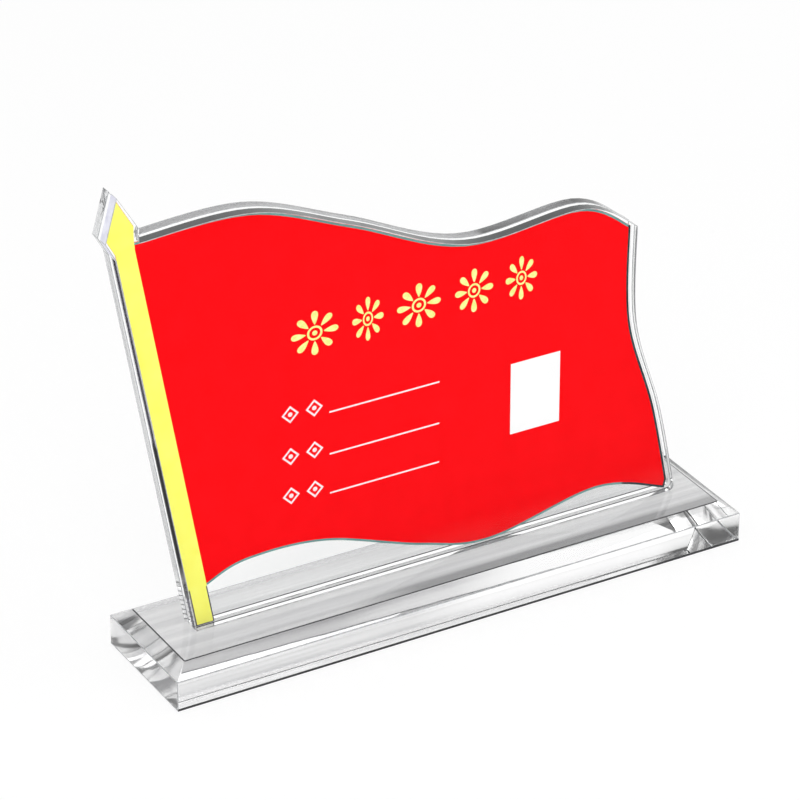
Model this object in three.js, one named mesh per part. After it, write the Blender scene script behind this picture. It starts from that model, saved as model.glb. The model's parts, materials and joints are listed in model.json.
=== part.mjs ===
import * as THREE from 'three';
import { ConvexGeometry } from 'three/addons/geometries/ConvexGeometry.js';

// Driving dimensions in millimetres. X runs along the sign, -Y is its front and Z is up.
// Base: a clear slab with a bevel round its top, and the shelf it leaves beyond each end of the plates
const baseDepth = 50;
const baseHeight = 15;
const bevelInset = 5.8;
const bevelDrop = 3.7;
const poleEndShelf = 18;
const freeEndShelf = 15;

// Upright: two clear plates of one outline, cemented to the base with a gap between them
const plateThickness = 4;
const glueThickness = 0.2;
const footCornerRadius = 2;

// Insert: a card under two printed films and a photo patch, which slides up out of the gap
const cardThickness = 0.5;
const filmThickness = 0.25;
const slideClearance = 0.3;
const restClearance = 0.3;
const insertMargin = 1.2;
const photoWidth = 19.8;
const photoHeight = 27.5;
const photoToFreeCorner = 28.9;
const photoAboveBase = 40.2;

// Pole and spearhead: lengths along the leaning pole, and reaches across it from its left edge
const poleLean = THREE.MathUtils.degToRad(9.8);
const poleLength = 148.8;
const poleFilmWidth = 6.9;
const barbRise = 7.2;
const barbReach = 2.44;
const pointLength = 14.6;
const rightBarbRise = 7.8;
const rightBarbReach = 10.1;
const hoistRise = 2.9;
const hoistReach = 9.1;

// Flag: its length from the hoist to the free corner, how far the corner lies below the hoist, how far
// the free edge's foot lies beyond the corner, and the crest of the printed lower edge
const flagLength = 190.3;
const cornerDrop = 41.3;
const freeEdgeReach = 18.5;
const lowerCrest = 20.2;
// The waves: smooth curves through points given as shares of a length and of a height
const topWave = [[0, 0], [0.219, -0.012], [0.42, 0.328], [0.647, 0.758], [0.887, 0.713], [1, 1]];
const freeWave = [[0, 0], [0.04, 0.35], [0.62, 0.685], [1, 1]];
const lowerWave = [[0, 0.733], [0.084, 1], [0.248, 0.93], [0.454, 0.292], [0.608, 0.01], [0.844, 0.4], [1, 0]];
const segmentsPerPoint = 10;
const cornerSegments = 6;

const insertThickness = cardThickness + 2 * filmThickness;
const slotWidth = insertThickness + 2 * slideClearance;
const poleRight = insertMargin + poleFilmWidth;
const poleCentre = insertMargin + poleFilmWidth / 2;

const clearPlastic = { color: 0xeef2f4, roughness: 0.05, metalness: 0, transparent: true, opacity: 0.35 };
const clearGlue = { color: 0xe4e9ec, roughness: 0.15, metalness: 0, transparent: true, opacity: 0.5 };
const whiteCard = { color: 0xf6f6f4, roughness: 0.6, metalness: 0 };
const redFilm = { color: 0xff0a12, roughness: 0.35, metalness: 0 };
const yellowFilm = { color: 0xffff70, roughness: 0.35, metalness: 0 };

function makeMesh(name, geometry, finish) {
  const mesh = new THREE.Mesh(geometry, new THREE.MeshStandardMaterial(finish));
  mesh.name = name;
  return mesh;
}

// The point at a distance along the pole and across it, from the foot of its left edge
function onPole(along, across) {
  const cos = Math.cos(poleLean);
  const sin = Math.sin(poleLean);
  return new THREE.Vector2(across * cos - along * sin, across * sin + along * cos);
}

// The point at a height on the line that follows the pole at a distance across it
function poleLineAt(across, height) {
  return new THREE.Vector2(across / Math.cos(poleLean) - height * Math.tan(poleLean), height);
}

// A wave from a point, as long and as high as a size; a negative height goes down
function waveFrom(start, wave, length, height) {
  const points = wave.map(([along, up]) => new THREE.Vector2(start.x + along * length, start.y + up * height));
  return new THREE.SplineCurve(points).getPoints((points.length - 1) * segmentsPerPoint);
}

function rightNormal(from, to) {
  const direction = to.clone().sub(from).normalize();
  return new THREE.Vector2(direction.y, -direction.x);
}

// A path moved to its right by a distance, with mitred corners
function movedRight(path, distance) {
  const last = path.length - 1;
  return path.map((point, i) => {
    const before = rightNormal(path[Math.max(i - 1, 0)], path[Math.max(i, 1)]);
    const after = rightNormal(path[Math.min(i, last - 1)], path[Math.min(i + 1, last)]);
    const mitre = before.add(after);
    return point.clone().addScaledVector(mitre, 2 * distance / mitre.lengthSq());
  });
}

// The upright's outline up the pole, round the spearhead and down its right barb to the flag's hoist
function poleEdge() {
  const shoulder = poleLength + barbRise;
  return [
    poleLineAt(0, glueThickness),
    onPole(poleLength, 0),
    onPole(shoulder, -barbReach),
    onPole(shoulder + pointLength, poleCentre),
    onPole(poleLength + rightBarbRise, rightBarbReach),
    onPole(poleLength + hoistRise, hoistReach),
  ];
}

const hoist = poleEdge().at(-1);
const footEnd = hoist.x + flagLength + freeEdgeReach;
const glueLength = footEnd - footCornerRadius;
const baseLength = poleEndShelf + footEnd + freeEndShelf;

// The upright's outline from the hoist over the flag and down its free edge to the round of the foot
function flagEdge() {
  const top = waveFrom(hoist, topWave, flagLength, -cornerDrop);
  const corner = top.at(-1);
  const fall = corner.y - glueThickness - footCornerRadius;
  return [...top, ...waveFrom(corner, freeWave, freeEdgeReach, -fall).slice(1)];
}

function plateOutline() {
  const radius = footCornerRadius;
  const centreY = glueThickness + radius;
  const round = new THREE.EllipseCurve(glueLength, centreY, radius, radius, 0, -Math.PI / 2, true);
  return [...poleEdge().slice(0, -1), ...flagEdge(), ...round.getPoints(cornerSegments).slice(1)];
}

// The printed pole: its foot, the spearhead, and down the pole's right side from the hoist
function poleFilmOutline() {
  const [, neck, barb, tip, rightBarb] = movedRight(poleEdge(), insertMargin);
  const hoistHeight = movedRight(flagEdge(), insertMargin)[0].y;
  return [
    poleLineAt(insertMargin, restClearance),
    neck,
    barb,
    tip,
    rightBarb,
    poleLineAt(poleRight, hoistHeight),
    poleLineAt(poleRight, restClearance),
  ];
}

function insertLowerEdge() {
  const poleSide = poleLineAt(poleRight, restClearance + lowerWave[0][1] * lowerCrest).x;
  const start = new THREE.Vector2(poleSide, restClearance);
  const end = footEnd - 2 * insertMargin;
  return waveFrom(start, lowerWave, end - start.x, lowerCrest);
}

function insertOutline() {
  const pole = poleFilmOutline();
  const flag = movedRight(flagEdge(), insertMargin).slice(0, -1);
  return [...pole.slice(0, -1), ...flag, ...insertLowerEdge().reverse(), pole.at(-1)];
}

function photoOutline() {
  const right = hoist.x + flagLength - photoToFreeCorner;
  const left = right - photoWidth;
  const top = photoAboveBase + photoHeight;
  return [
    new THREE.Vector2(left, photoAboveBase),
    new THREE.Vector2(left, top),
    new THREE.Vector2(right, top),
    new THREE.Vector2(right, photoAboveBase),
  ];
}

// An upright sheet of an outline, from its back face forwards
function makeSheet(name, outline, thickness, backY, finish) {
  const shape = new THREE.Shape(outline);
  const geometry = new THREE.ExtrudeGeometry(shape, { depth: thickness, bevelEnabled: false });
  const sheet = makeMesh(name, geometry, finish);
  sheet.rotation.x = Math.PI / 2;
  sheet.position.y = backY;
  return sheet;
}

function makeBase() {
  const sideTop = baseHeight - bevelDrop;
  const levels = [[0, 0], [0, sideTop], [bevelInset, baseHeight]];
  const corners = [];
  for (const [inset, height] of levels) {
    const x = baseLength / 2 - inset;
    const y = baseDepth / 2 - inset;
    corners.push(new THREE.Vector3(x, y, height), new THREE.Vector3(-x, y, height));
    corners.push(new THREE.Vector3(x, -y, height), new THREE.Vector3(-x, -y, height));
  }
  return makeMesh('base', new ConvexGeometry(corners), clearPlastic);
}

// A plate and the glue under it, with the plate's back face at a place along Y
function makePlate(name, backY) {
  const plate = makeSheet(name, plateOutline(), plateThickness, backY, clearPlastic);
  const geometry = new THREE.BoxGeometry(glueLength, plateThickness, glueThickness);
  const glue = makeMesh(`${name}_glue`, geometry, clearGlue);
  glue.position.set(glueLength / 2, backY - plateThickness / 2, glueThickness / 2);
  const group = new THREE.Group();
  group.add(plate, glue);
  return group;
}

function makeInsert() {
  const cardBack = insertThickness / 2;
  const filmBack = cardBack - cardThickness;
  const topFilmBack = filmBack - filmThickness;
  const insert = new THREE.Group();
  insert.add(makeSheet('insert_card', insertOutline(), cardThickness, cardBack, whiteCard));
  insert.add(makeSheet('flag_film', insertOutline(), filmThickness, filmBack, redFilm));
  insert.add(makeSheet('pole_film', poleFilmOutline(), filmThickness, topFilmBack, yellowFilm));
  insert.add(makeSheet('photo_patch', photoOutline(), filmThickness, topFilmBack, whiteCard));
  return insert;
}

// The upright stands on the base, with its origin at the foot of the pole's left edge
function makeUpright() {
  const upright = new THREE.Group();
  upright.position.set(poleEndShelf - baseLength / 2, 0, baseHeight);
  upright.add(makePlate('front_plate', -slotWidth / 2));
  upright.add(makePlate('back_plate', slotWidth / 2 + plateThickness));
  upright.add(makeInsert());
  return upright;
}

const sign = new THREE.Group();
sign.add(makeBase(), makeUpright());

export default sign;
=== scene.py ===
import json
import math

import bmesh
import bpy
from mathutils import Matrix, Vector

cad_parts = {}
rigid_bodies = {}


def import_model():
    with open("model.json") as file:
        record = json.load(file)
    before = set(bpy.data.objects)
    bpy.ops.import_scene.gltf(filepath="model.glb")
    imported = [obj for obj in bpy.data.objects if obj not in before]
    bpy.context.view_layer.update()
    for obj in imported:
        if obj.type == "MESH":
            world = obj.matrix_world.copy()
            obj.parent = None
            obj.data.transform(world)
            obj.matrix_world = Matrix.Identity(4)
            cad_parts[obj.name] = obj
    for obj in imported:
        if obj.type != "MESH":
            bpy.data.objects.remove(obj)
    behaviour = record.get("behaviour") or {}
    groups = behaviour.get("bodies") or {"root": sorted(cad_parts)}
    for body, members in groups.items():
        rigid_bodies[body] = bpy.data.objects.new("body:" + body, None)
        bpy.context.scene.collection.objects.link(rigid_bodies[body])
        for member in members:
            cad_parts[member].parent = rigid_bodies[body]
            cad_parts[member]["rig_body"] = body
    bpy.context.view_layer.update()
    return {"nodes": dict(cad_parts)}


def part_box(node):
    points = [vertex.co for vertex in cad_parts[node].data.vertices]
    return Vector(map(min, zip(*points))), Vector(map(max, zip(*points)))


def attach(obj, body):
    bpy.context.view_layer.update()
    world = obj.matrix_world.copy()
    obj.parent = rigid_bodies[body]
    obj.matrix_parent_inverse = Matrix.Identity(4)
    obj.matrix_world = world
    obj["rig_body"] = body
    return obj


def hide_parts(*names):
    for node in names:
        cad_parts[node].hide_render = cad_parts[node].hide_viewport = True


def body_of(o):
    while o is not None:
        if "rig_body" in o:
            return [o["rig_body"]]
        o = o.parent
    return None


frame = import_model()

mm = 0.001
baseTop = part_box("base")[1].z
filmLow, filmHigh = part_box("flag_film")
print("frame loaded with", len(frame["nodes"]), "pieces")


def addNode(tree, kind, inputs=None, **settings):
    node = tree.nodes.new(kind)
    for key, value in settings.items():
        setattr(node, key, value)
    for socket, value in (inputs or {}).items():
        if isinstance(value, bpy.types.NodeSocket):
            tree.links.new(value, node.inputs[socket])
        else:
            node.inputs[socket].default_value = value
    return node


def firstOutput(tree, kind, inputs=None, **settings):
    return addNode(tree, kind, inputs, **settings).outputs[0]


def mathNode(tree, operation, *values):
    return firstOutput(tree, "ShaderNodeMath", dict(enumerate(values)), operation=operation)


def rangeNode(tree, value, start, end, atStart=0.0, atEnd=1.0):
    return firstOutput(tree, "ShaderNodeMapRange", {
        "Value": value, "From Min": start, "From Max": end, "To Min": atStart, "To Max": atEnd})


def noiseNode(tree, place, size, detail, roughness=0.5):
    return addNode(tree, "ShaderNodeTexNoise", {
        "Vector": place, "Scale": size, "Detail": detail, "Roughness": roughness}).outputs["Fac"]


def mixColors(tree, share, first, second):
    inputs = {"Factor": share, 6: first, 7: second}
    return addNode(tree, "ShaderNodeMix", inputs, data_type="RGBA").outputs[2]


def mixLevels(tree, share, first, second):
    return firstOutput(tree, "ShaderNodeMix", {"Factor": share, "A": first, "B": second})


def objectPlace(tree):
    return addNode(tree, "ShaderNodeTexCoord").outputs["Object"]


def newGroup(name, kind, inputs, outputs):
    group = bpy.data.node_groups.new(name, kind)
    for socketName, (socketType, value) in inputs.items():
        socket = group.interface.new_socket(
            socketName, in_out="INPUT", socket_type="NodeSocket" + socketType)
        if value is not None:
            socket.default_value = value
    for socketName, socketType in outputs.items():
        group.interface.new_socket(socketName, in_out="OUTPUT", socket_type="NodeSocket" + socketType)
    return group, addNode(group, "NodeGroupInput").outputs


polishNoise = {
    "streakDetail": 3.0, "streakShown": (0.35, 0.7), "streakHeight": 0.04,
    "scratchDetail": 2.0, "scratchShown": (0.62, 0.8), "waveDetail": 1.0,
    "bandSoftness": 0.3, "bandEntry": 30 * mm,
}


# polished clear sheet: slow waves in its face, streaks and hairline scratches along it, and one tinted band;
# its tint, streak tint and band carry painted shade where they are set darker
def makePolishGroup(noise):
    group, given = newGroup("polishedClear", "ShaderNodeTree", {
        "Stretch": ("Vector", (0.05, 1.0, 1.0)), "Tint": ("Color", (1, 1, 1, 1)),
        "Streak Tint": ("Color", (0.8, 0.8, 0.8, 1)), "Streak Size": ("Float", 300.0),
        "Wave Size": ("Float", 60.0), "Scratch Size": ("Float", 900.0),
        "Gloss": ("Float", 0.0), "Haze": ("Float", 0.02), "Band Tint": ("Color", (1, 1, 1, 1)),
        "Band Place": ("Float", 0.0), "Band Half": ("Float", 0.0), "Band Start": ("Float", -1.0),
    }, {"Color": "Color", "Roughness": "Float", "Height": "Float"})
    place = objectPlace(group)
    run = firstOutput(group, "ShaderNodeVectorMath", {0: place, 1: given["Stretch"]}, operation="MULTIPLY")
    streak = noiseNode(group, run, given["Streak Size"], noise["streakDetail"])
    streak = rangeNode(group, streak, *noise["streakShown"])
    color = mixColors(group, streak, given["Tint"], given["Streak Tint"])
    axes = addNode(group, "ShaderNodeSeparateXYZ", {0: place}).outputs
    offBand = mathNode(group, "ABSOLUTE", mathNode(group, "SUBTRACT", axes["Y"], given["Band Place"]))
    outside = mathNode(group, "MULTIPLY", given["Band Half"], 1 + noise["bandSoftness"])
    inside = mathNode(group, "MULTIPLY", given["Band Half"], 1 - noise["bandSoftness"])
    inBand = rangeNode(group, offBand, outside, inside)
    entered = mathNode(group, "ADD", given["Band Start"], noise["bandEntry"])
    begun = rangeNode(group, axes["X"], given["Band Start"], entered)
    color = mixColors(group, mathNode(group, "MULTIPLY", inBand, begun), color, given["Band Tint"])
    scratch = noiseNode(group, run, given["Scratch Size"], noise["scratchDetail"])
    haze = rangeNode(group, scratch, *noise["scratchShown"], given["Gloss"], given["Haze"])
    wave = noiseNode(group, place, given["Wave Size"], noise["waveDetail"])
    height = mathNode(group, "MULTIPLY_ADD", streak, noise["streakHeight"], wave)
    addNode(group, "NodeGroupOutput", {"Color": color, "Roughness": haze, "Height": height})
    return group


printNoise = {"mottleDetail": 4.0, "mottleRoughness": 0.6, "mottleShown": (0.3, 0.7), "grainDetail": 3.0}


# printed film, card, ground edges and lines of painted shade: mottle over a fine grain
def makePrintGroup(noise):
    group, given = newGroup("printedFace", "ShaderNodeTree", {
        "Ink": ("Color", (1, 1, 1, 1)), "Light Ink": ("Color", (1, 1, 1, 1)),
        "Mottle Size": ("Float", 90.0), "Grain Size": ("Float", 2500.0),
        "Roughness": ("Float", 0.35), "Roughness Spread": ("Float", 0.1),
    }, {"Color": "Color", "Roughness": "Float", "Height": "Float"})
    place = objectPlace(group)
    mottle = noiseNode(group, place, given["Mottle Size"], noise["mottleDetail"], noise["mottleRoughness"])
    grain = noiseNode(group, place, given["Grain Size"], noise["grainDetail"])
    spread = rangeNode(group, mottle, *noise["mottleShown"])
    color = mixColors(group, spread, given["Ink"], given["Light Ink"])
    rough = mathNode(group, "MULTIPLY_ADD", grain, given["Roughness Spread"], given["Roughness"])
    addNode(group, "NodeGroupOutput", {"Color": color, "Roughness": rough, "Height": grain})
    return group


polishGroup = makePolishGroup(polishNoise)
printGroup = makePrintGroup(printNoise)


def fillSockets(node, values):
    for name, value in values.items():
        node.inputs[name].default_value = value


def newMaterial(name):
    material = bpy.data.materials.new(name)
    material.use_nodes = True
    return material, material.node_tree, material.node_tree.nodes["Principled BSDF"]


# puts a group's colour, roughness and height on a shader
def dressShader(tree, shader, group, values, strength, depth):
    face = addNode(tree, "ShaderNodeGroup", node_tree=group)
    fillSockets(face, values)
    bump = firstOutput(tree, "ShaderNodeBump", {
        "Height": face.outputs["Height"], "Strength": strength, "Distance": depth})
    tree.links.new(face.outputs["Color"], shader.inputs["Base Color"])
    tree.links.new(face.outputs["Roughness"], shader.inputs["Roughness"])
    tree.links.new(bump, shader.inputs["Normal"])


# 1 for the soft light and the lamps, and 0 for what the eye sees, in mirrors and through clear sheet too
def softLight(tree, path):
    return mathNode(tree, "MAXIMUM", path["Is Shadow Ray"], path["Is Diffuse Ray"])


# clear sheet; soft light and lamps reach through it, and light caught inside leaves it after some turns
def clearMaterial(name, look):
    material, tree, shader = newMaterial(name)
    dressShader(tree, shader, polishGroup, look["polish"], look["waveStrength"], look["waveDepth"])
    path = addNode(tree, "ShaderNodeLightPath").outputs
    passing = mathNode(tree, "MULTIPLY", softLight(tree, path), 1.0 - look["shade"])
    caught = mathNode(tree, "GREATER_THAN", path["Ray Depth"], look["turns"] - 0.5)
    alpha = mathNode(tree, "SUBTRACT", 1.0, mathNode(tree, "MAXIMUM", passing, caught))
    tree.links.new(alpha, shader.inputs["Alpha"])
    fillSockets(shader, {
        "Transmission Weight": 1.0, "IOR": look["ior"], "Specular Tint": (*[look["shine"]] * 3, 1.0)})
    return material


# a matt face: card, ink, a ground edge or a line of painted shade; with a shade set, soft light and lamps
# reach through it
def mattMaterial(name, look):
    material, tree, shader = newMaterial(name)
    dressShader(tree, shader, printGroup, look["face"], look["grain"], look["grainDepth"])
    fillSockets(shader, {"Specular IOR Level": look["specular"]})
    if "shade" in look:
        soft = softLight(tree, addNode(tree, "ShaderNodeLightPath").outputs)
        alpha = mathNode(tree, "MULTIPLY_ADD", soft, look["shade"] - 1.0, 1.0)
        tree.links.new(alpha, shader.inputs["Alpha"])
    return material


# printed face; in mirrors it shows a painted grey reflection and its bounced light is a painted pale grey,
# so the floor and the clear base take no colour from it
def inkMaterial(name, look):
    material = mattMaterial(name, look)
    tree = material.node_tree
    shader = tree.nodes["Principled BSDF"]
    ink = shader.inputs["Base Color"].links[0].from_socket
    path = addNode(tree, "ShaderNodeLightPath").outputs
    mirrored = mathNode(tree, "GREATER_THAN", path["Glossy Depth"], 0.5)
    color = mixColors(tree, mirrored, ink, look["mirrored"])
    color = mixColors(tree, path["Is Diffuse Ray"], color, look["cast"])
    tree.links.new(color, shader.inputs["Base Color"])
    return material


# a merged copy of a CAD piece with its edges eased, standing for that piece
def finishedCopy(name, node, materials, ease, sortFace):
    mesh = frame["nodes"][node].data.copy()
    mesh.name = name
    mesh.materials.clear()
    for material in materials:
        mesh.materials.append(material)
    shape = bmesh.new()
    shape.from_mesh(mesh)
    bmesh.ops.remove_doubles(shape, verts=shape.verts, dist=ease["merge"])
    bmesh.ops.dissolve_limit(shape, angle_limit=ease["flatAngle"], verts=shape.verts, edges=shape.edges)
    for level in ease["cuts"]:
        everything = [*shape.verts, *shape.edges, *shape.faces]
        bmesh.ops.bisect_plane(shape, geom=everything, plane_co=(0, 0, level), plane_no=(0, 0, 1))
    border = []
    if ease["border"]:
        front = [face for face in shape.faces if face.normal.y < -ease["facing"]]
        border = bmesh.ops.inset_region(
            shape, faces=front, thickness=ease["border"], use_boundary=True, use_even_offset=True)["faces"]
    for face in shape.faces:
        face.material_index = sortFace(face, "border" if face in border else "plain")
    corners = [edge for edge in shape.edges if edge.calc_face_angle() > ease["cornerAngle"]
               and max(vertex.co.z for vertex in edge.verts) > ease["easedFrom"]]
    eased = bmesh.ops.bevel(
        shape, geom=corners, offset=ease["width"], offset_type="OFFSET", segments=ease["segments"],
        profile=0.5, affect="EDGES", clamp_overlap=True)
    for face in eased["faces"]:
        face.material_index = sortFace(face, "eased")
    shape.to_mesh(mesh)
    shape.free()
    return shownPiece(name, mesh, node, ease["smoothAngle"])


def shownPiece(name, mesh, node, smoothAngle):
    mesh.polygons.foreach_set("use_smooth", [True] * len(mesh.polygons))
    mesh.set_sharp_from_angle(angle=smoothAngle)
    piece = bpy.data.objects.new(name, mesh)
    bpy.context.scene.collection.objects.link(piece)
    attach(piece, body_of(frame["nodes"][node])[0])
    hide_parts(node)
    return piece


arris = {
    "merge": 0.001 * mm, "flatAngle": math.radians(0.5), "cornerAngle": math.radians(15),
    "smoothAngle": math.radians(18), "width": 0.12 * mm, "segments": 2, "cuts": (), "border": 0.0,
    "facing": 0.9, "easedFrom": -1.0,
}
sheetEdge = dict(arris, width=0.03 * mm, segments=1)

# the slab: its top is brushed and tinted darker as painted shade, with a band of painted shade before the
# plates, its bevels show stronger streaks of painted shade, and its sawn ends are mottled with painted shade
clearPolish = {
    "Stretch": (0.03, 1.0, 1.0), "Tint": (1, 1, 1, 1), "Streak Tint": (0.95, 0.95, 0.96, 1),
    "Streak Size": 330.0, "Wave Size": 70.0, "Scratch Size": 1200.0, "Gloss": 0.0, "Haze": 0.04,
}
topPolishAndShade = dict(clearPolish, **{
    "Tint": (0.64, 0.64, 0.64, 1), "Streak Tint": (0.4, 0.4, 0.41, 1), "Streak Size": 260.0,
    "Band Tint": (0.17, 0.17, 0.173, 1), "Band Place": -19 * mm, "Band Half": 5 * mm,
    "Band Start": -45 * mm,
})
bevelPolishAndShade = dict(clearPolish, **{
    "Tint": (0.7, 0.7, 0.7, 1), "Streak Tint": (0.34, 0.34, 0.35, 1),
    "Band Tint": (1, 1, 1, 1), "Band Half": 1.0, "Band Start": -5 * mm,
})
endPolishAndShade = dict(clearPolish, **{
    "Stretch": (1.0, 1.0, 1.0), "Tint": (0.66, 0.66, 0.66, 1), "Streak Tint": (0.3, 0.3, 0.31, 1),
    "Streak Size": 140.0, "Gloss": 0.12, "Haze": 0.22,
})
baseLook = {
    "ior": 1.49, "shine": 1.0, "waveStrength": 0.3, "waveDepth": 0.03 * mm, "shade": 0.3, "turns": 8,
}
basePolishes = {
    "topClear": topPolishAndShade, "bevelClear": bevelPolishAndShade, "wallClear": clearPolish, "endClear": endPolishAndShade,
}
lineLook = {
    "face": {
        "Ink": (0.3, 0.31, 0.32, 1), "Light Ink": (0.55, 0.56, 0.57, 1), "Mottle Size": 500.0,
        "Grain Size": 4000.0, "Roughness": 0.4, "Roughness Spread": 0.1},
    "grain": 0.3, "grainDepth": 0.01 * mm, "specular": 0.3,
}
# near-black lines of painted shade on the slab's top arrises and front foot and on the plates' feet
paintedShadeLineLook = dict(lineLook, face=dict(lineLook["face"], **{
    "Ink": (0.015, 0.015, 0.018, 1), "Light Ink": (0.06, 0.06, 0.065, 1), "Mottle Size": 60.0}))
paleLine = mattMaterial("paleLine", lineLook)
paintedShadeLine = mattMaterial("paintedShadeLine", paintedShadeLineLook)
baseEase = dict(arris, width=0.25 * mm, cuts=(0.45 * mm, 0.9 * mm), easedFrom=5 * mm)
baseLines = {
    "endFoot": baseEase["cuts"][0], "frontFoot": baseEase["cuts"][1], "topArris": baseTop - 0.5 * mm,
    "sideArris": baseTop - 2.5 * mm, "backPart": 15 * mm, "endPart": 100 * mm,
}
baseFacing = {"level": 0.95, "sloping": 0.2, "toward": 0.5}


# 0 to 3 are the clear top, bevels, walls and ends; 4 the pale lines on the arrises and ends' foot, 5 the
# dark lines of painted shade on the top arrises and front foot
def sortBaseFace(face, kind):
    middle, normal = face.calc_center_median(), face.normal
    if kind == "eased" and middle.z > baseLines["topArris"]:
        return 5 if middle.y < baseLines["backPart"] else 4
    if kind == "eased" and middle.z < baseLines["sideArris"]:
        if middle.y < 0 or abs(middle.x) > baseLines["endPart"]:
            return 4
    if middle.z < baseLines["frontFoot"] and normal.y < -baseFacing["toward"]:
        return 5
    if middle.z < baseLines["endFoot"] and abs(normal.x) > baseFacing["toward"]:
        return 4
    if abs(normal.z) > baseFacing["level"]:
        return 0 if normal.z > 0 else 2
    if abs(normal.x) > abs(normal.y):
        return 3
    return 1 if normal.z > baseFacing["sloping"] else 2


baseClears = [clearMaterial(name, dict(baseLook, polish=polish)) for name, polish in basePolishes.items()]
finishedCopy("baseSlab", "base", baseClears + [paleLine, paintedShadeLine], baseEase, sortBaseFace)

# the plates: clear faces; edge walls are tinted darker as painted shade, darkest along the top, the front
# plate's pole side has a navy band of painted shade, and its spearhead has one pale satin wall
faceLook = {
    "polish": {
        "Stretch": (0.1, 1.0, 1.0), "Tint": (1, 1, 1, 1), "Streak Tint": (0.99, 0.995, 0.995, 1),
        "Streak Size": 120.0, "Wave Size": 45.0, "Scratch Size": 1500.0, "Gloss": 0.0, "Haze": 0.015},
    "ior": 1.49, "shine": 0.03, "waveStrength": 0.2, "waveDepth": 0.02 * mm, "shade": 0.04,
}
edgePolishAndShade = {
    "Stretch": (0.02, 1.0, 0.02), "Tint": (0.85, 0.86, 0.87, 1), "Streak Tint": (0.45, 0.46, 0.47, 1),
    "Streak Size": 420.0, "Wave Size": 150.0, "Scratch Size": 1500.0, "Gloss": 0.02, "Haze": 0.12,
}
edgeLook = dict(faceLook, shine=1.0, waveStrength=0.3)
# painted shade on the edge walls: darkest along the top, and a near-black band on the front plate's pole
# side
topEdges = {
    "back": {"Tint": (0.19, 0.195, 0.2, 1), "Streak Tint": (0.05, 0.05, 0.055, 1)},
    "front": {"Tint": (0.1, 0.125, 0.128, 1), "Streak Tint": (0.03, 0.045, 0.048, 1)},
}
poleEdges = {
    "back": {"Tint": (0.75, 0.76, 0.77, 1), "Streak Tint": (0.35, 0.36, 0.37, 1)},
    "front": {"Band Tint": (0.003, 0.0025, 0.006, 1), "Band Place": -3.0 * mm, "Band Half": 1.3 * mm},
}
freeEdges = {
    "back": {"Tint": (0.62, 0.63, 0.64, 1), "Streak Tint": (0.3, 0.31, 0.32, 1)},
    "front": {},
}
satinLook = dict(lineLook, shade=0.1, face=dict(lineLook["face"], **{
    "Ink": (0.66, 0.665, 0.78, 1), "Light Ink": (0.86, 0.865, 0.95, 1), "Mottle Size": 260.0}))
satinWall = mattMaterial("satinWall", satinLook)
plateEase = dict(arris, width=0.2 * mm)
plateParts = {
    "footArris": baseTop + 0.5 * mm, "spearFoot": baseTop + 135 * mm, "faceFacing": 0.9, "poleFacing": 0.7,
    "freeFacing": 0.8,
}


# 0 is the clear face; 1 to 3 the top, pole side and free edge walls; 4 and 5 the arrises above and at the
# foot, the foot's arris a dark line of painted shade; 6 is the spearhead's left wall
def sortPlateFace(face, kind):
    middle, normal = face.calc_center_median(), face.normal
    if kind == "eased":
        return 4 if middle.z > plateParts["footArris"] else 5
    if abs(normal.y) > plateParts["faceFacing"]:
        return 0
    if normal.x < -plateParts["poleFacing"]:
        return 2 if middle.z < plateParts["spearFoot"] else 6
    return 3 if normal.x > plateParts["freeFacing"] else 1


def plateMaterials(side, turns):
    looks = {
        "Face": faceLook,
        "TopEdge": dict(edgeLook, polish=dict(edgePolishAndShade, **topEdges[side])),
        "PoleEdge": dict(edgeLook, shine=0.2, polish=dict(edgePolishAndShade, **poleEdges[side])),
        "FreeEdge": dict(edgeLook, polish=dict(edgePolishAndShade, **freeEdges[side])),
    }
    clear = [clearMaterial(side + name, dict(look, turns=turns)) for name, look in looks.items()]
    return clear + [paleLine, paintedShadeLine, satinWall if side == "front" else clear[3]]


finishedCopy("frontSheet", "front_plate", plateMaterials("front", turns=8), plateEase, sortPlateFace)
finishedCopy("backSheet", "back_plate", plateMaterials("back", turns=9), plateEase, sortPlateFace)

seamLook = {
    "stretch": (0.12, 1.0, 0.2), "spotSize": 900.0, "spotDetail": 3.0, "spotShown": (0.5, 0.54),
    "shadeSize": 300.0, "shadeDetail": 1.0, "shadeShown": (0.5, 0.6), "rough": 0.3, "specular": 0.2,
    "dark": (0.02, 0.02, 0.025, 1), "pale": (0.9, 0.9, 0.92, 1),
    "air": 0.03 * mm, "inset": 0.1 * mm, "cuts": 150, "longFrom": 1 * mm, "wander": 0.12 * mm,
    "swings": ((611.0, 0.0), (1733.0, 1.0)),
}


# cement wicked under a plate: clear where it has spread, with runs of haze and dark patches
def seamMaterial(name, look):
    material, tree, shader = newMaterial(name)
    run = firstOutput(tree, "ShaderNodeMapping", {"Vector": objectPlace(tree), "Scale": look["stretch"]})
    spots = noiseNode(tree, run, look["spotSize"], look["spotDetail"])
    shades = noiseNode(tree, run, look["shadeSize"], look["shadeDetail"])
    shades = rangeNode(tree, shades, *look["shadeShown"])
    tree.links.new(mixColors(tree, shades, look["dark"], look["pale"]), shader.inputs["Base Color"])
    tree.links.new(rangeNode(tree, spots, *look["spotShown"]), shader.inputs["Alpha"])
    fillSockets(shader, {"Roughness": look["rough"], "Specular IOR Level": look["specular"]})
    return material


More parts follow.
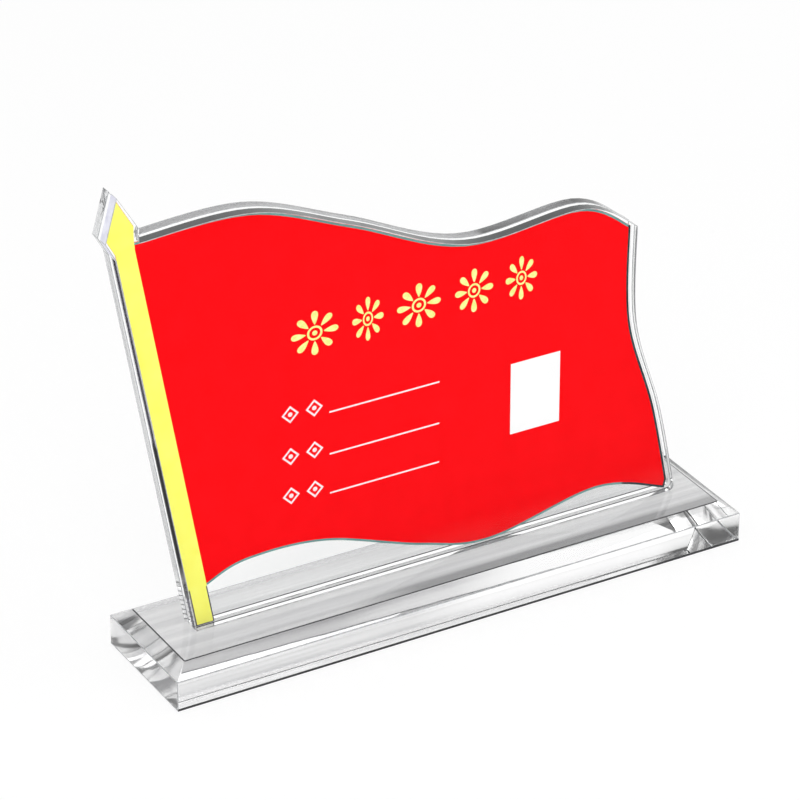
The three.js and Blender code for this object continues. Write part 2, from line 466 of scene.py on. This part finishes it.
# a box with a little air round it, whose long sides wander as cement does
def thinSeam(name, node, material, look):
    low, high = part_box(node)
    shape = bmesh.new()
    bmesh.ops.create_cube(shape, size=1.0)
    for vertex in shape.verts:
        for axis, inset in enumerate((look["inset"], look["inset"], look["air"])):
            side = (low if vertex.co[axis] < 0 else high)[axis]
            vertex.co[axis] = side - math.copysign(inset, vertex.co[axis])
    long = [edge for edge in shape.edges if abs(edge.verts[0].co.x - edge.verts[1].co.x) > look["longFrom"]]
    bmesh.ops.subdivide_edges(shape, edges=long, cuts=look["cuts"], use_grid_fill=True)
    for vertex in shape.verts:
        swings = [math.sin(vertex.co.x * pitch + shift) for pitch, shift in look["swings"]]
        inward = look["wander"] * (1 + sum(swings) / len(swings))
        vertex.co.y -= math.copysign(inward, vertex.co.y - (low.y + high.y) / 2)
    mesh = bpy.data.meshes.new(name)
    shape.to_mesh(mesh)
    shape.free()
    mesh.materials.append(material)
    return shownPiece(name, mesh, node, arris["smoothAngle"])


seamClear = seamMaterial("seamClear", seamLook)
thinSeam("frontSeam", "front_plate_glue", seamClear, seamLook)
thinSeam("backSeam", "back_plate_glue", seamClear, seamLook)
print("clear pieces done")

# the insert: a white card, a red print and a yellow pole, each print with a thin dark border
cardLook = {
    "face": {
        "Ink": (0.86, 0.86, 0.85, 1), "Light Ink": (0.93, 0.93, 0.92, 1), "Mottle Size": 60.0,
        "Grain Size": 1800.0, "Roughness": 0.55, "Roughness Spread": 0.1},
    "grain": 0.4, "grainDepth": 0.01 * mm, "specular": 0.3,
}
photoLook = dict(cardLook, face=dict(cardLook["face"], **{
    "Ink": (0.96, 0.96, 0.96, 1), "Light Ink": (1, 1, 1, 1)}))
redLook = {
    "face": {
        "Ink": (0.95, 0.0018, 0.005, 1), "Light Ink": (1.0, 0.0028, 0.007, 1), "Mottle Size": 120.0,
        "Grain Size": 3000.0, "Roughness": 0.4, "Roughness Spread": 0.12},
    "grain": 0.1, "grainDepth": 0.005 * mm, "specular": 0.02,
    "cast": (0.8, 0.8, 0.8, 1), "mirrored": (0.35, 0.35, 0.36, 1),
}


def otherInk(ink, lightInk, **values):
    return dict(redLook, face=dict(redLook["face"], **{"Ink": ink, "Light Ink": lightInk}), **values)


yellowLook = otherInk((0.97, 0.94, 0.14, 1), (1.0, 1.0, 0.2, 1), mirrored=(0.8, 0.8, 0.75, 1))
tealLook = otherInk((0.12, 0.26, 0.25, 1), (0.2, 0.4, 0.38, 1))
darkTealLook = otherInk((0.012, 0.03, 0.034, 1), (0.05, 0.09, 0.1, 1))
navyLook = otherInk((0.04, 0.035, 0.09, 1), (0.08, 0.075, 0.16, 1))
printCut = {
    "flagWidth": 0.85 * mm, "poleWidth": 0.45 * mm, "freeFrom": filmHigh.x - 18.9 * mm,
    "waveStart": baseTop + 15.1 * mm,
}


def sortSheetFace(face, kind):
    return 0


# the red print's border is teal, and darker down the free edge
def sortFlagFace(face, kind):
    if kind != "border":
        return 0
    return 2 if face.calc_center_median().x > printCut["freeFrom"] else 1


# the pole's print has a dark border round its foot
def sortPoleFace(face, kind):
    return 1 if kind == "border" and face.calc_center_median().z < printCut["waveStart"] else 0


flagInks = [inkMaterial("redInk", redLook), inkMaterial("tealBorder", tealLook),
            inkMaterial("darkTealBorder", darkTealLook)]
poleInks = [inkMaterial("yellowInk", yellowLook), inkMaterial("navyBorder", navyLook)]
cutFlag = dict(sheetEdge, border=printCut["flagWidth"])
cutPole = dict(sheetEdge, border=printCut["poleWidth"], cuts=(printCut["waveStart"],))
finishedCopy("cardBacking", "insert_card", [mattMaterial("whiteCard", cardLook)], sheetEdge, sortSheetFace)
finishedCopy("flagPrint", "flag_film", flagInks, cutFlag, sortFlagFace)
finishedCopy("polePrint", "pole_film", poleInks, cutPole, sortPoleFace)
finishedCopy("photoBlank", "photo_patch", [mattMaterial("photoPaper", photoLook)], sheetEdge, sortSheetFace)
print("insert done")


def joined(tree, *parts):
    join = addNode(tree, "GeometryNodeJoinGeometry")
    for part in parts:
        tree.links.new(part, join.inputs[0])
    return join.outputs[0]


# flat shapes in the XY plane are given a thickness and stood up to face the front
def printFlat(tree, flat, thickness):
    raised = firstOutput(tree, "GeometryNodeExtrudeMesh", {
        "Mesh": flat, "Offset Scale": thickness, "Individual": False}, mode="FACES")
    under = firstOutput(tree, "GeometryNodeFlipFaces", {"Mesh": flat})
    closed = firstOutput(tree, "GeometryNodeMergeByDistance", {
        "Geometry": joined(tree, raised, under), "Distance": arris["merge"]})
    return firstOutput(tree, "GeometryNodeTransform", {
        "Geometry": closed, "Rotation": (math.pi / 2, 0.0, 0.0)})


def discShape(tree, radius, corners):
    return firstOutput(tree, "GeometryNodeMeshCircle", {
        "Vertices": corners, "Radius": radius}, fill_type="NGON")


def ringShape(tree, outer, inner, corners):
    curves = [
        firstOutput(tree, "GeometryNodeCurvePrimitiveCircle", {"Resolution": corners, "Radius": radius})
        for radius in (outer, inner)]
    return firstOutput(tree, "GeometryNodeFillCurve", {"Curve": joined(tree, *curves)})


def placeOnHosts(tree, hosts, motif, size, material):
    placed = firstOutput(tree, "GeometryNodeInstanceOnPoints", {
        "Points": hosts, "Instance": motif, "Scale": size})
    real = firstOutput(tree, "GeometryNodeRealizeInstances", {"Geometry": placed})
    done = firstOutput(tree, "GeometryNodeSetMaterial", {"Geometry": real, "Material": material})
    addNode(tree, "NodeGroupOutput", {"Geometry": done})


rosetteShape = {
    "discCorners": 20, "ringCorners": 32, "petalWaist": 0.62, "petalSwell": 0.35, "ringInset": 1.6,
}


# a rosette of petals round a ring and a dot, one unit across, set and sized on each host point
def makeRosetteTree(shape):
    tree, given = newGroup("rosettes", "GeometryNodeTree", {
        "Geometry": ("Geometry", None), "Petals": ("Int", 8), "Petal Width": ("Float", 0.2),
        "Petal Start": ("Float", 0.2), "Ring Width": ("Float", 0.05), "Dot": ("Float", 0.07),
        "Thickness": ("Float", 0.05 * mm), "Ink": ("Material", None),
    }, {"Geometry": "Geometry"})
    disc = discShape(tree, 1.0, shape["discCorners"])
    spot = firstOutput(tree, "GeometryNodeInputPosition")
    at = addNode(tree, "ShaderNodeSeparateXYZ", {0: spot}).outputs
    widen = mathNode(tree, "MULTIPLY_ADD", at["Y"], shape["petalSwell"], shape["petalWaist"])
    halfLength = mathNode(tree, "MULTIPLY", mathNode(tree, "SUBTRACT", 0.5, given["Petal Start"]), 0.5)
    middle = mathNode(tree, "SUBTRACT", 0.5, halfLength)
    halfWidth = mathNode(tree, "MULTIPLY", given["Petal Width"], 0.5)
    x = mathNode(tree, "MULTIPLY", mathNode(tree, "MULTIPLY", at["X"], widen), halfWidth)
    y = mathNode(tree, "MULTIPLY_ADD", at["Y"], halfLength, middle)
    spot = firstOutput(tree, "ShaderNodeCombineXYZ", {"X": x, "Y": y})
    petal = firstOutput(tree, "GeometryNodeSetPosition", {"Geometry": disc, "Position": spot})
    centres = firstOutput(tree, "GeometryNodePoints", {"Count": given["Petals"]})
    index = firstOutput(tree, "GeometryNodeInputIndex")
    turn = mathNode(tree, "DIVIDE", mathNode(tree, "MULTIPLY", index, 2 * math.pi), given["Petals"])
    turn = firstOutput(tree, "ShaderNodeCombineXYZ", {"Z": turn})
    petals = firstOutput(tree, "GeometryNodeInstanceOnPoints", {
        "Points": centres, "Instance": petal, "Rotation": turn})
    petals = firstOutput(tree, "GeometryNodeRealizeInstances", {"Geometry": petals})
    ringIn = mathNode(tree, "MULTIPLY_ADD", given["Ring Width"], -shape["ringInset"], given["Petal Start"])
    ringOut = mathNode(tree, "ADD", ringIn, given["Ring Width"])
    ring = ringShape(tree, ringOut, ringIn, shape["ringCorners"])
    dot = discShape(tree, given["Dot"], shape["discCorners"])
    motif = printFlat(tree, joined(tree, petals, ring, dot), given["Thickness"])
    size = firstOutput(tree, "GeometryNodeInputNamedAttribute", {"Name": "size"}, data_type="FLOAT_VECTOR")
    placeOnHosts(tree, given["Geometry"], motif, size, given["Ink"])
    return tree


entryShape = {"endRound": 0.45, "endSteps": 3, "markCorners": 4, "dotShare": 0.13, "dotCorners": 12}


# an entry row: a writing line after two small lozenge frames
def makeEntryTree(shape):
    tree, given = newGroup("entryRows", "GeometryNodeTree", {
        "Geometry": ("Geometry", None),
        "Line Length": ("Float", 43 * mm), "Line Width": ("Float", 0.6 * mm),
        "Mark Size": ("Float", 6 * mm), "Mark Line": ("Float", 0.7 * mm), "Mark Step": ("Float", 8 * mm),
        "Mark Gap": ("Float", 4 * mm), "Mark Lift": ("Float", 2 * mm),
        "Thickness": ("Float", 0.05 * mm), "Ink": ("Material", None),
    }, {"Geometry": "Geometry"})
    bar = firstOutput(tree, "GeometryNodeCurvePrimitiveQuadrilateral", {
        "Width": given["Line Length"], "Height": given["Line Width"]})
    endRadius = mathNode(tree, "MULTIPLY", given["Line Width"], shape["endRound"])
    ends = firstOutput(tree, "GeometryNodeFilletCurve", {
        "Curve": bar, "Radius": endRadius, "Count": shape["endSteps"]}, mode="POLY")
    line = firstOutput(tree, "GeometryNodeFillCurve", {"Curve": ends})
    halfLine = mathNode(tree, "MULTIPLY", given["Line Length"], 0.5)
    shift = firstOutput(tree, "ShaderNodeCombineXYZ", {"X": halfLine})
    line = firstOutput(tree, "GeometryNodeTransform", {"Geometry": line, "Translation": shift})
    half = mathNode(tree, "MULTIPLY", given["Mark Size"], 0.5)
    inner = mathNode(tree, "SUBTRACT", half, given["Mark Line"])
    lozenge = ringShape(tree, half, inner, shape["markCorners"])
    dotRadius = mathNode(tree, "MULTIPLY", given["Mark Size"], shape["dotShare"])
    mark = joined(tree, lozenge, discShape(tree, dotRadius, shape["dotCorners"]))
    spots = []
    for step in (0.0, 1.0):
        start = mathNode(tree, "ADD", given["Mark Gap"], half)
        back = mathNode(tree, "MULTIPLY_ADD", given["Mark Step"], step, start)
        place = firstOutput(tree, "ShaderNodeCombineXYZ", {
            "X": mathNode(tree, "MULTIPLY", back, -1.0), "Y": given["Mark Lift"]})
        spots.append(firstOutput(tree, "GeometryNodeTransform", {"Geometry": mark, "Translation": place}))
    motif = printFlat(tree, joined(tree, line, *spots), given["Thickness"])
    placeOnHosts(tree, given["Geometry"], motif, (1.0, 1.0, 1.0), given["Ink"])
    return tree


# runs a tree on host points and keeps the result as a plain mesh
def grownPiece(name, tree, hosts, sizes, inputs):
    mesh = bpy.data.meshes.new(name + "Hosts")
    mesh.from_pydata(hosts, [], [])
    layer = mesh.attributes.new("size", "FLOAT_VECTOR", "POINT")
    layer.data.foreach_set("vector", [part for size in sizes for part in size])
    piece = bpy.data.objects.new(name, mesh)
    bpy.context.scene.collection.objects.link(piece)
    modifier = piece.modifiers.new("grow", "NODES")
    modifier.node_group = tree
    for item in tree.interface.items_tree:
        if item.in_out == "INPUT" and item.name in inputs:
            modifier[item.identifier] = inputs[item.name]
    graph = bpy.context.evaluated_depsgraph_get()
    plain = bpy.data.meshes.new_from_object(piece.evaluated_get(graph), depsgraph=graph)
    piece.modifiers.clear()
    piece.data = plain
    return piece


# a place on the film's front, along the sign and above the base's top
def onFilm(along, up):
    return (along * mm, filmLow.y, baseTop + up * mm)


titleLook = otherInk((0.87, 0.83, 0.22, 1), (0.97, 0.97, 0.42, 1))
titleLook["face"]["Mottle Size"] = 500.0
titleRow = {
    "along": (-46.3, -26.0, -6.3, 15.3, 34.0), "wide": (18, 12, 17, 15, 12.5), "high": 16.5, "up": 100.1,
}
titlePetals = {
    "Petals": 8, "Petal Width": 0.21, "Petal Start": 0.19, "Ring Width": 0.045, "Dot": 0.055,
    "Thickness": 0.05 * mm,
}
title = grownPiece(
    "titleRosettes", makeRosetteTree(rosetteShape),
    [onFilm(along, titleRow["up"]) for along in titleRow["along"]],
    [(wide * mm, 1.0, titleRow["high"] * mm) for wide in titleRow["wide"]],
    dict(titlePetals, Ink=inkMaterial("titleInk", titleLook)))

whiteInkLook = otherInk((0.93, 0.72, 0.75, 1), (1.0, 0.9, 0.92, 1))
whiteInkLook["face"]["Mottle Size"] = 600.0
entryPlaces = {"start": -41.1, "up": (68.6, 52.5, 37.3)}
entryMarks = {
    "Line Length": 43 * mm, "Line Width": 0.6 * mm, "Mark Size": 6.6 * mm, "Mark Line": 0.95 * mm,
    "Mark Step": 9.2 * mm, "Mark Gap": 2.4 * mm, "Mark Lift": 3.2 * mm, "Thickness": 0.05 * mm,
}
entry = grownPiece(
    "entryRows", makeEntryTree(entryShape),
    [onFilm(entryPlaces["start"], up) for up in entryPlaces["up"]],
    [(1.0, 1.0, 1.0)] * len(entryPlaces["up"]), dict(entryMarks, Ink=inkMaterial("whiteInk", whiteInkLook)))
for piece, slot in ((title, "yellow_film"), (entry, "photo_paper")):
    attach(piece, "insert")
print("ornament printed")


# 1 on a card on the floor, whose sides slant along the view and fade out around it
def cardMask(tree, axes, fade, slant, low, high):
    places = (mathNode(tree, "MULTIPLY_ADD", axes["Y"], slant, axes["X"]), axes["Y"])
    mask = 1.0
    for corner, outward in ((low, -fade), (high, fade)):
        for place, side in zip(places, corner):
            mask = mathNode(tree, "MULTIPLY", mask, rangeNode(tree, place, side + outward, side))
    return mask


def makeFloor(look):
    mesh = bpy.data.meshes.new("floor")
    half, under = look["size"] / 2, -look["gap"]
    corners = [(-half, -half, under), (half, -half, under), (half, half, under), (-half, half, under)]
    mesh.from_pydata(corners, [], [(0, 1, 2, 3)])
    floor = bpy.data.objects.new("floor", mesh)
    bpy.context.scene.collection.objects.link(floor)
    material, tree, shader = newMaterial("floorWhite")
    fillSockets(shader, {"Base Color": look["color"], "Roughness": 1.0, "Specular IOR Level": 0.0})
    path = addNode(tree, "ShaderNodeLightPath").outputs
    mirrored = mathNode(tree, "MAXIMUM", path["Is Glossy Ray"], path["Is Transmission Ray"])
    clearShare = mathNode(tree, "MULTIPLY", mirrored, look["clearWhite"])
    share = mathNode(tree, "MULTIPLY_ADD", path["Is Camera Ray"], look["seenWhite"], clearShare)
    level = mathNode(tree, "MULTIPLY_ADD", mirrored, look["clearLevel"] - 1.0, 1.0)
    white = firstOutput(tree, "ShaderNodeEmission", {"Strength": level})
    both = firstOutput(tree, "ShaderNodeMixShader", {0: share, 1: shader.outputs[0], 2: white})
    axes = addNode(tree, "ShaderNodeSeparateXYZ", {0: objectPlace(tree)}).outputs
    card = 0.0
    for mirrors, slant, low, high in look["cards"]:
        turned = mathNode(tree, "GREATER_THAN", path["Glossy Depth"], mirrors - 0.5)
        mask = mathNode(tree, "MULTIPLY", cardMask(tree, axes, look["cardFade"], slant, low, high), turned)
        card = mathNode(tree, "MAXIMUM", card, mask)
    card = mathNode(tree, "MULTIPLY", card, look["cardShade"])
    black = firstOutput(tree, "ShaderNodeEmission", {"Strength": 0.0})
    carded = firstOutput(tree, "ShaderNodeMixShader", {0: card, 1: both, 2: black})
    tree.links.new(carded, tree.nodes["Material Output"].inputs["Surface"])
    mesh.materials.append(material)


# only mirrors see the dark cards, patches of painted shade on the floor for the clear pieces' reflections:
# two before the sign keep its red deep, two behind it darken the pole's side, and two by the slab's right
# end darken that corner, the last only after three mirrors; each card has a number of mirrors, a slant, and
# its near left and far right corners
viewSlant = 0.577  # how far right a line of sight that the plates mirror runs for each step forwards
floorLook = {
    "size": 40.0, "gap": 0.3 * mm, "color": (0.97, 0.97, 0.97, 1), "seenWhite": 0.8, "clearWhite": 0.4,
    "clearLevel": 1.15, "cardShade": 0.85, "cardFade": 8 * mm,
    "cards": (
        (1, viewSlant, (-0.125, -0.6), (0.12, -0.032)), (1, viewSlant, (-0.4, -0.6), (-0.12, -0.1)),
        (1, viewSlant, (-0.092, 0.05), (-0.068, 0.1)), (1, viewSlant, (-0.095, 0.1), (-0.035, 0.3)),
        (1, 0.0, (0.105, 0.008), (0.16, 0.055)), (3, 0.0, (0.074, 0.012), (0.1, 0.056))),
}
makeFloor(floorLook)


# white to the camera; to gloss and glass a studio that is white behind the sign and level with it, and
# greyer before and above it
def makeWorld(look):
    world = bpy.data.worlds.new("studio")
    world.use_nodes = True
    bpy.context.scene.world = world
    tree = world.node_tree
    tree.nodes.clear()
    direction = addNode(tree, "ShaderNodeTexCoord").outputs["Generated"]
    axes = addNode(tree, "ShaderNodeSeparateXYZ", {0: direction}).outputs
    toBack = rangeNode(tree, axes["Y"], *look["backTurn"])
    overhead = rangeNode(tree, axes["Z"], *look["aboveTurn"])
    level = rangeNode(tree, mathNode(tree, "ABSOLUTE", axes["Z"]), *look["levelTurn"])
    front = mixLevels(tree, level, look["front"], look["level"])
    around = mixLevels(tree, toBack, front, look["back"])
    studio = mixLevels(tree, overhead, around, look["above"])
    path = addNode(tree, "ShaderNodeLightPath").outputs
    seen = mathNode(tree, "MAXIMUM", path["Is Glossy Ray"], path["Is Transmission Ray"])
    strength = mixLevels(tree, seen, look["soft"], studio)
    strength = mixLevels(tree, path["Is Camera Ray"], strength, 1.0)
    light = firstOutput(tree, "ShaderNodeBackground", {"Color": (1, 1, 1, 1), "Strength": strength})
    addNode(tree, "ShaderNodeOutputWorld", {"Surface": light})


worldLook = {
    "front": 0.66, "level": 0.98, "back": 1.1, "above": 0.75, "soft": 0.8,
    "backTurn": (-0.25, 0.35), "aboveTurn": (0.55, 0.9), "levelTurn": (0.75, 0.5),
}
makeWorld(worldLook)


def makeLamp(name, look):
    data = bpy.data.lights.new(name, "AREA")
    data.shape = "RECTANGLE"
    data.size, data.size_y = look["size"]
    data.energy = look["power"]
    lamp = bpy.data.objects.new(name, data)
    bpy.context.scene.collection.objects.link(lamp)
    lamp.location = look["place"]
    toward = Vector(look["aim"]) - lamp.location
    lamp.rotation_mode = "QUATERNION"
    lamp.rotation_quaternion = toward.to_track_quat("-Z", "Y")


keyLamp = {"size": (1.2, 0.9), "power": 9.0, "place": (-0.7, -1.0, 1.3), "aim": (0.0, 0.0, 0.08)}
fillLamp = {"size": (1.0, 1.0), "power": 3.0, "place": (1.2, -0.5, 0.9), "aim": (0.0, 0.0, 0.08)}
makeLamp("keyLamp", keyLamp)
makeLamp("fillLamp", fillLamp)


# the photo's view: a long lens from the front left, looking down
def makeCamera(look):
    turn, tilt = math.radians(look["azimuth"]), math.radians(look["elevation"])
    toCamera = Vector((math.sin(turn) * math.cos(tilt), -math.cos(turn) * math.cos(tilt), math.sin(tilt)))
    right = Vector((math.cos(turn), math.sin(turn), 0.0))
    up = toCamera.cross(right)
    data = bpy.data.cameras.new("photoView")
    data.sensor_width = look["sensor"]
    data.lens = look["lens"]
    data.clip_start, data.clip_end = look["clip"]
    camera = bpy.data.objects.new("photoView", data)
    bpy.context.scene.collection.objects.link(camera)
    offset = toCamera * look["distance"] + right * look["right"] + up * look["up"]
    camera.location = Vector(look["target"]) + offset
    camera.rotation_mode = "QUATERNION"
    camera.rotation_quaternion = toCamera.to_track_quat("Z", "Y")
    bpy.context.scene.camera = camera


cameraLook = {
    "azimuth": -29.97, "elevation": 28.78, "distance": 1.5054, "right": -0.01082, "up": 0.01522,
    "target": (0.0, 0.0, 0.0587), "lens": 197.4, "sensor": 36.0, "clip": (0.01, 50.0),
}
makeCamera(cameraLook)
scene = bpy.context.scene
scene.view_settings.view_transform = "Standard"
bounces = {
    "max_bounces": 16, "transmission_bounces": 16, "glossy_bounces": 16, "transparent_max_bounces": 32,
}
for name, most in bounces.items():
    setattr(scene.cycles, name, most)
print("stage, lamps and camera done")
